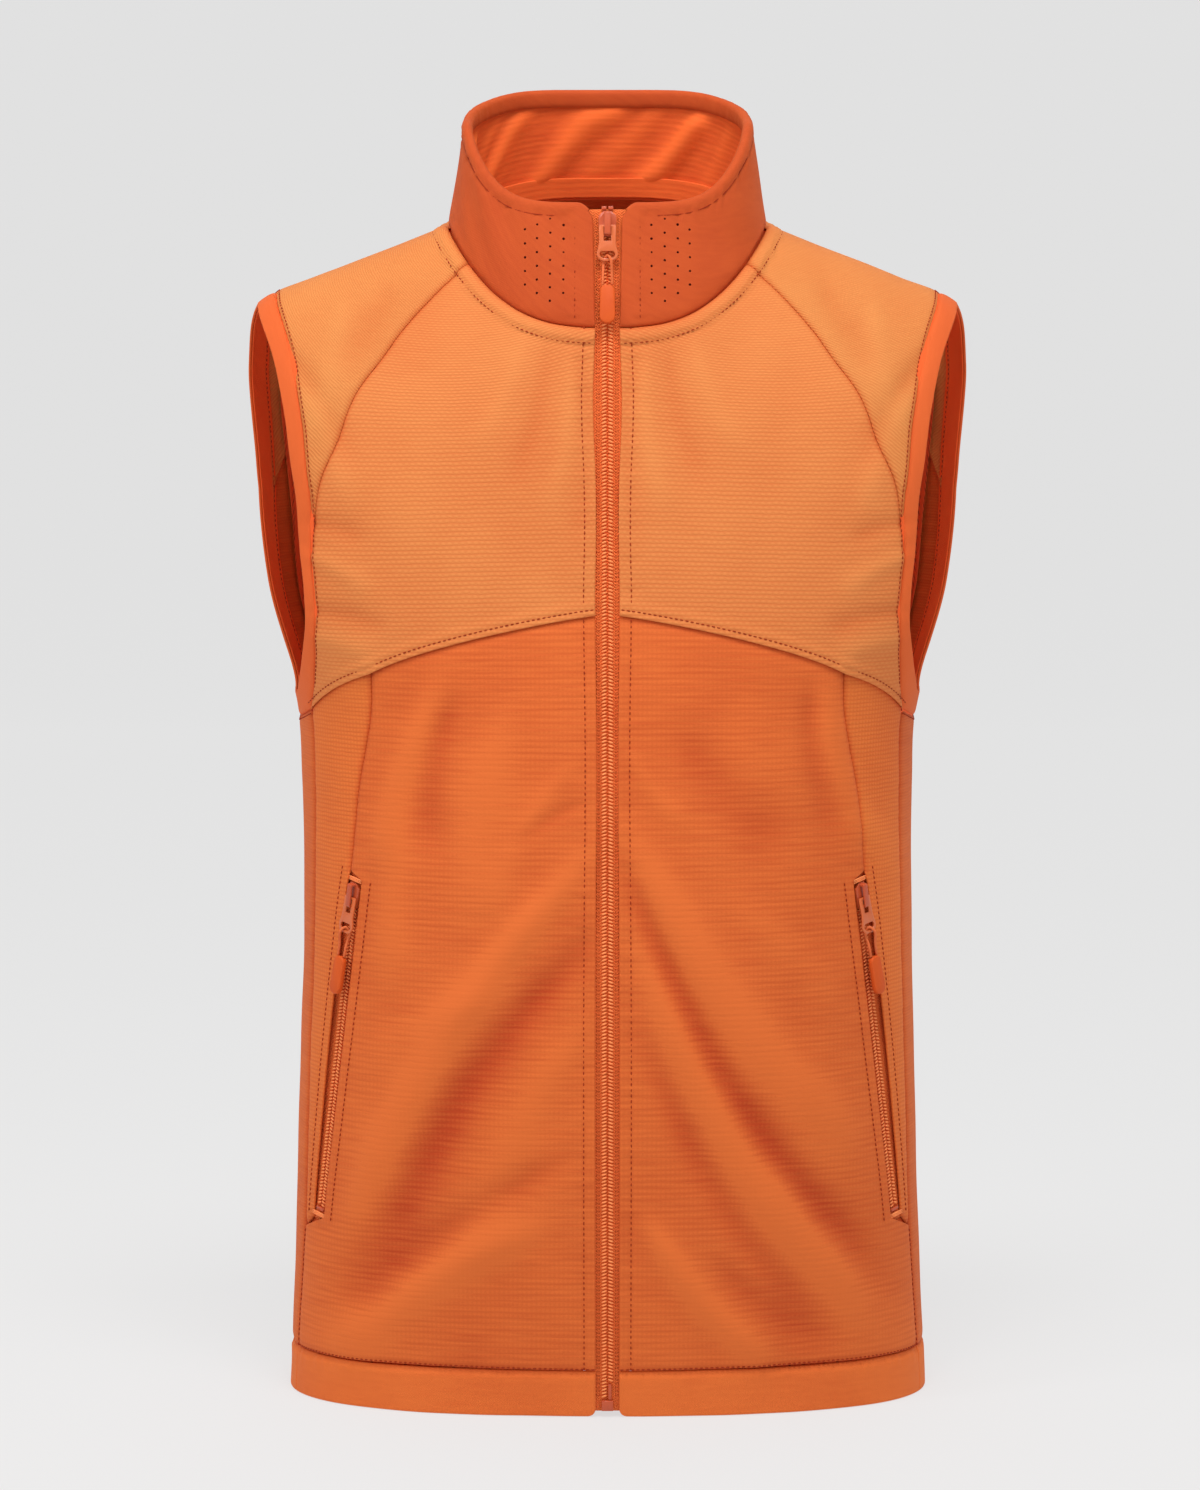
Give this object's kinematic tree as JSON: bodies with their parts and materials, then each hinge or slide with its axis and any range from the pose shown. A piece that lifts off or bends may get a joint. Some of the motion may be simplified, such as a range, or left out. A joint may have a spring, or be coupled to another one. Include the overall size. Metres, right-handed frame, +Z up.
{
  "type": "vest",
  "caption": "Sleeveless zip-front outdoor vest with a stand-up collar, raglan shoulder panels, a chest yoke and zipped hand pockets, standing open on its hem.",
  "frame": {"origin": "centre of the bounding box at the hem's lower edge", "axes": "+Z up from hem to collar; the zip faces -Y; +X is the wearer's left; the vest is widest along X"},
  "size_m": [0.417, 0.2391, 0.7449],
  "materials": {
    "yoke_fabric": "matte woven stretch with a fine dashed weave",
    "body_fabric": "matte woven stretch with fine irregular cross stripes",
    "side_fabric": "matte woven stretch with a fine grid",
    "band_fabric": "smooth matte binding",
    "lining_mesh": "brushed mesh",
    "collar_lining": "brushed, with fine ribs",
    "zip_tape": "herringbone tape",
    "zip_chain": "nylon coil, slight sheen",
    "painted_metal": "satin paint",
    "pull_cord": "fine braid",
    "soft_grip": "soft moulded, matte"
  },
  "bodies": {
    "vest": {"left_chest_panel": "yoke_fabric", "left_front_panel": "body_fabric", "left_side_front_panel": "side_fabric", "left_shoulder_panel": "yoke_fabric", "left_hem_band_front": "body_fabric", "left_armhole_band": "band_fabric", "left_front_lining": "lining_mesh", "left_pocket_bag": "lining_mesh", "left_main_zip_tape": "zip_tape", "left_main_zip_chain": "zip_chain", "left_main_zip_top_stop": "painted_metal", "left_pocket_zip_tape_inner": "zip_tape", "left_pocket_zip_chain_inner": "zip_chain", "left_pocket_zip_tape_outer": "zip_tape", "left_pocket_zip_chain_outer": "zip_chain", "left_pocket_zip_bottom_stop": "painted_metal", "right_chest_panel": "yoke_fabric", "right_front_panel": "body_fabric", "right_side_front_panel": "side_fabric", "right_shoulder_panel": "yoke_fabric", "right_hem_band_front": "body_fabric", "right_armhole_band": "band_fabric", "right_front_lining": "lining_mesh", "right_pocket_bag": "lining_mesh", "right_main_zip_tape": "zip_tape", "right_main_zip_chain": "zip_chain", "right_main_zip_top_stop": "painted_metal", "right_pocket_zip_tape_inner": "zip_tape", "right_pocket_zip_chain_inner": "zip_chain", "right_pocket_zip_tape_outer": "zip_tape", "right_pocket_zip_chain_outer": "zip_chain", "right_pocket_zip_bottom_stop": "painted_metal", "back_panel": "body_fabric", "hem_band_back": "body_fabric", "collar_shell": "band_fabric", "collar_lining": "collar_lining", "back_neck_tape": "band_fabric", "back_lining": "lining_mesh", "main_zip_retainer_box": "painted_metal", "main_zip_insertion_pin": "painted_metal"},
    "main_slider": {"main_slider_body": "painted_metal"},
    "main_tab": {"main_pull_tab": "painted_metal"},
    "main_grip": {"main_pull_cord": "pull_cord", "main_pull_grip": "soft_grip"},
    "left_pocket_slider": {"left_pocket_slider_body": "painted_metal"},
    "left_pocket_tab": {"left_pocket_pull_tab": "painted_metal"},
    "left_pocket_grip": {"left_pocket_pull_cord": "pull_cord", "left_pocket_pull_grip": "soft_grip"},
    "right_pocket_slider": {"right_pocket_slider_body": "painted_metal"},
    "right_pocket_tab": {"right_pocket_pull_tab": "painted_metal"},
    "right_pocket_grip": {"right_pocket_pull_cord": "pull_cord", "right_pocket_pull_grip": "soft_grip"}
  },
  "joints": [
    {"name": "main_slider_travel", "type": "hinge", "parent": "vest", "child": "main_slider", "pos_m": [0, 1.3802, 0.27], "axis": [1, 0, 0], "range_deg": [0, 23.4]},
    {"name": "main_tab_swing", "type": "hinge", "parent": "main_slider", "child": "main_tab", "pos_m": [0, -0.06755, 0.67021], "axis": [-1, 0, 0], "range_deg": [0, 120]},
    {"name": "main_grip_swing", "type": "hinge", "parent": "main_tab", "child": "main_grip", "pos_m": [0, -0.07295, 0.65152], "axis": [-1, 0, 0], "range_deg": [0, 60]},
    {"name": "left_pocket_slider_travel", "type": "slide", "parent": "vest", "child": "left_pocket_slider", "axis": [0.1145, 0.132, -0.9846], "range_m": [0, 0.176]},
    {"name": "left_pocket_tab_swing", "type": "hinge", "parent": "left_pocket_slider", "child": "left_pocket_tab", "pos_m": [0.14456, -0.07956, 0.29355], "axis": [-0.6365, -0.7512, -0.1747], "range_deg": [0, 120]},
    {"name": "left_pocket_grip_swing", "type": "hinge", "parent": "left_pocket_tab", "child": "left_pocket_grip", "pos_m": [0.14782, -0.07787, 0.27445], "axis": [-0.6365, -0.7512, -0.1747], "range_deg": [0, 60]},
    {"name": "right_pocket_slider_travel", "type": "slide", "parent": "vest", "child": "right_pocket_slider", "axis": [-0.1145, 0.132, -0.9846], "range_m": [0, 0.176]},
    {"name": "right_pocket_tab_swing", "type": "hinge", "parent": "right_pocket_slider", "child": "right_pocket_tab", "pos_m": [-0.14456, -0.07956, 0.29355], "axis": [-0.6365, 0.7512, 0.1747], "range_deg": [0, 120]},
    {"name": "right_pocket_grip_swing", "type": "hinge", "parent": "right_pocket_tab", "child": "right_pocket_grip", "pos_m": [-0.14782, -0.07787, 0.27445], "axis": [-0.6365, 0.7512, 0.1747], "range_deg": [0, 60]}
  ]
}
